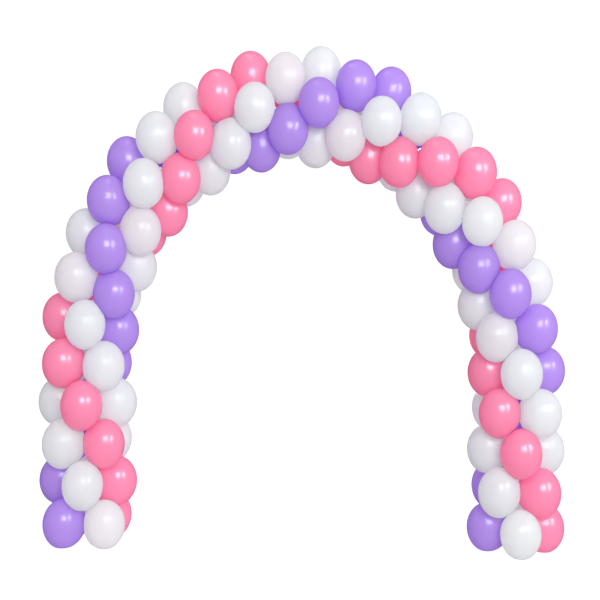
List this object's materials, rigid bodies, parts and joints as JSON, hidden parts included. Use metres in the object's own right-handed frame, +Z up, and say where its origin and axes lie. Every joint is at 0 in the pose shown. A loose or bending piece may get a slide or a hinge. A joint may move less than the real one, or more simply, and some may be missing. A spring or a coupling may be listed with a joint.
{
  "type": "balloon arch",
  "caption": "Free-standing arch of glossy latex balloons tied in clusters, wound into a purple, pink and white spiral.",
  "frame": {"origin": "on the floor, at the middle of the bounding box between the two feet", "axes": "+Z up; +X to the right, across the archway; -Y is the front, where the arch is looked at, and +Y the back"},
  "size_m": [2.518, 0.4534, 2.3923],
  "materials": {
    "white_latex": "glossy opaque latex, cool white",
    "purple_latex": "glossy opaque latex, lilac purple",
    "pink_latex": "glossy opaque latex, candy pink",
    "purple_and_pink_latex": "the duplet of one purple_latex balloon and one pink_latex balloon; this colour is their mean"
  },
  "bodies": {
    "root": {"pair_01_purple_pink": "purple_and_pink_latex", "pair_01_white": "white_latex", "pair_02_purple_pink": "purple_and_pink_latex", "pair_02_white": "white_latex", "pair_03_purple_pink": "purple_and_pink_latex", "pair_03_white": "white_latex", "pair_04_purple_pink": "purple_and_pink_latex", "pair_04_white": "white_latex", "pair_05_purple_pink": "purple_and_pink_latex", "pair_05_white": "white_latex", "pair_06_purple_pink": "purple_and_pink_latex", "pair_06_white": "white_latex", "pair_07_purple_pink": "purple_and_pink_latex", "pair_07_white": "white_latex", "pair_08_purple_pink": "purple_and_pink_latex", "pair_08_white": "white_latex", "pair_09_purple_pink": "purple_and_pink_latex", "pair_09_white": "white_latex", "pair_10_purple_pink": "purple_and_pink_latex", "pair_10_white": "white_latex", "pair_11_purple_pink": "purple_and_pink_latex", "pair_11_white": "white_latex", "pair_12_purple_pink": "purple_and_pink_latex", "pair_12_white": "white_latex", "pair_13_purple_pink": "purple_and_pink_latex", "pair_13_white": "white_latex", "pair_14_purple_pink": "purple_and_pink_latex", "pair_14_white": "white_latex", "pair_15_purple_pink": "purple_and_pink_latex", "pair_15_white": "white_latex", "pair_16_purple_pink": "purple_and_pink_latex", "pair_16_white": "white_latex", "pair_17_purple_pink": "purple_and_pink_latex", "pair_17_white": "white_latex", "pair_18_purple_pink": "purple_and_pink_latex", "pair_18_white": "white_latex", "pair_19_purple_pink": "purple_and_pink_latex", "pair_19_white": "white_latex", "pair_20_purple_pink": "purple_and_pink_latex", "pair_20_white": "white_latex", "pair_21_purple_pink": "purple_and_pink_latex", "pair_21_white": "white_latex", "pair_22_purple_pink": "purple_and_pink_latex", "pair_22_white": "white_latex", "pair_23_purple_pink": "purple_and_pink_latex", "pair_23_white": "white_latex", "pair_24_purple_pink": "purple_and_pink_latex", "pair_24_white": "white_latex", "pair_25_purple_pink": "purple_and_pink_latex", "pair_25_white": "white_latex", "pair_26_purple_pink": "purple_and_pink_latex", "pair_26_white": "white_latex", "pair_27_purple_pink": "purple_and_pink_latex", "pair_27_white": "white_latex", "pair_28_purple_pink": "purple_and_pink_latex", "pair_28_white": "white_latex", "pair_29_purple_pink": "purple_and_pink_latex", "pair_29_white": "white_latex", "pair_30_purple_pink": "purple_and_pink_latex", "pair_30_white": "white_latex"}
  },
  "joints": []
}
